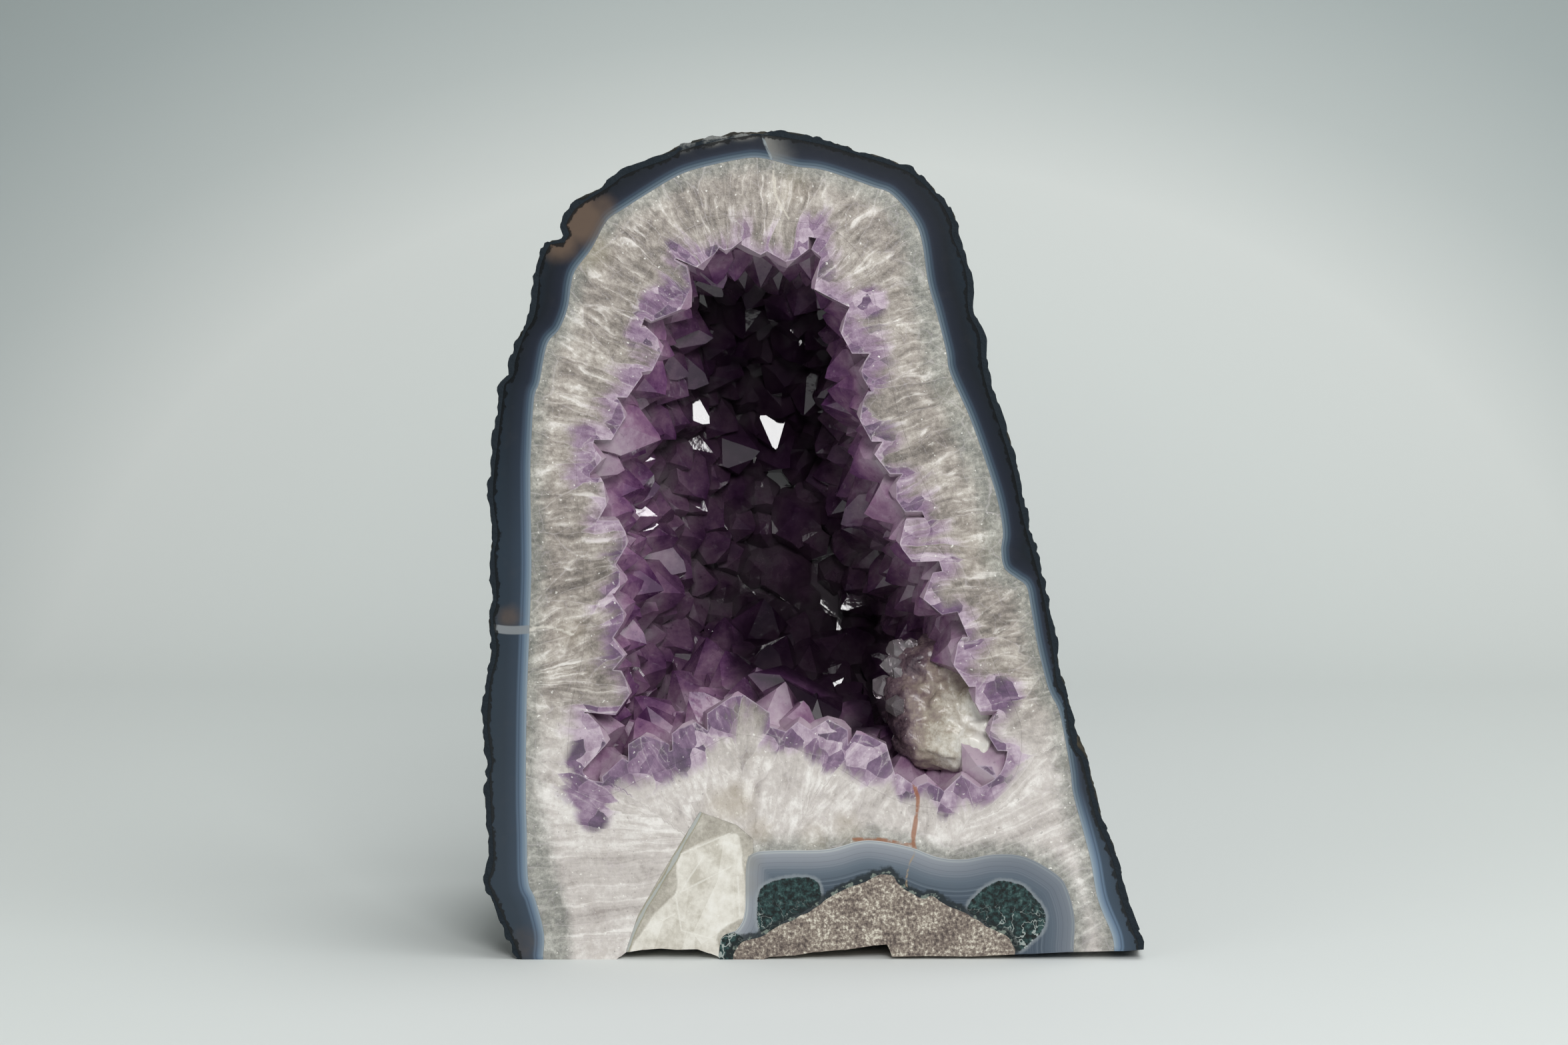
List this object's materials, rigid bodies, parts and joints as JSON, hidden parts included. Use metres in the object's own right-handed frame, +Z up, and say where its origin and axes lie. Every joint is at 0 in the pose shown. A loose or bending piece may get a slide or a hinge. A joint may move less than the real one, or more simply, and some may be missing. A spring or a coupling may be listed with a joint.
{
  "type": "amethyst geode",
  "caption": "Half of a tall geode, sawn flat in front and below: a rough rock skin, banded agate, milky quartz and a hollow lined with amethyst crystals.",
  "frame": {"origin": "a point on the sawn base near the middle of the part's width, 80 mm behind the sawn face", "axes": "+Z up from the sawn base, +Y from the sawn face towards the rounded back, +X to the right seen from the front"},
  "size_m": [0.241, 0.1612, 0.3007],
  "materials": {
    "rind": "rough, dark, pitted host rock",
    "agate": "sawn and polished agate with thin pale bands",
    "milky_quartz": "sawn and polished milky quartz with fibres towards the hollow",
    "amethyst": "glassy purple crystal faces, part see-through",
    "basalt": "sawn, matt, speckled grey-brown rock with green patches",
    "cream_calcite": "sawn cream crystal with cleavage lines",
    "pale_calcite": "glassy to waxy pale crystal faces"
  },
  "bodies": {
    "root": {"basalt_rind": "rind", "agate_shell": "agate", "quartz_lining": "milky_quartz", "amethyst_crust": "amethyst", "basalt_tongue": "basalt", "calcite_block": "cream_calcite", "calcite_cluster": "pale_calcite"}
  },
  "joints": []
}
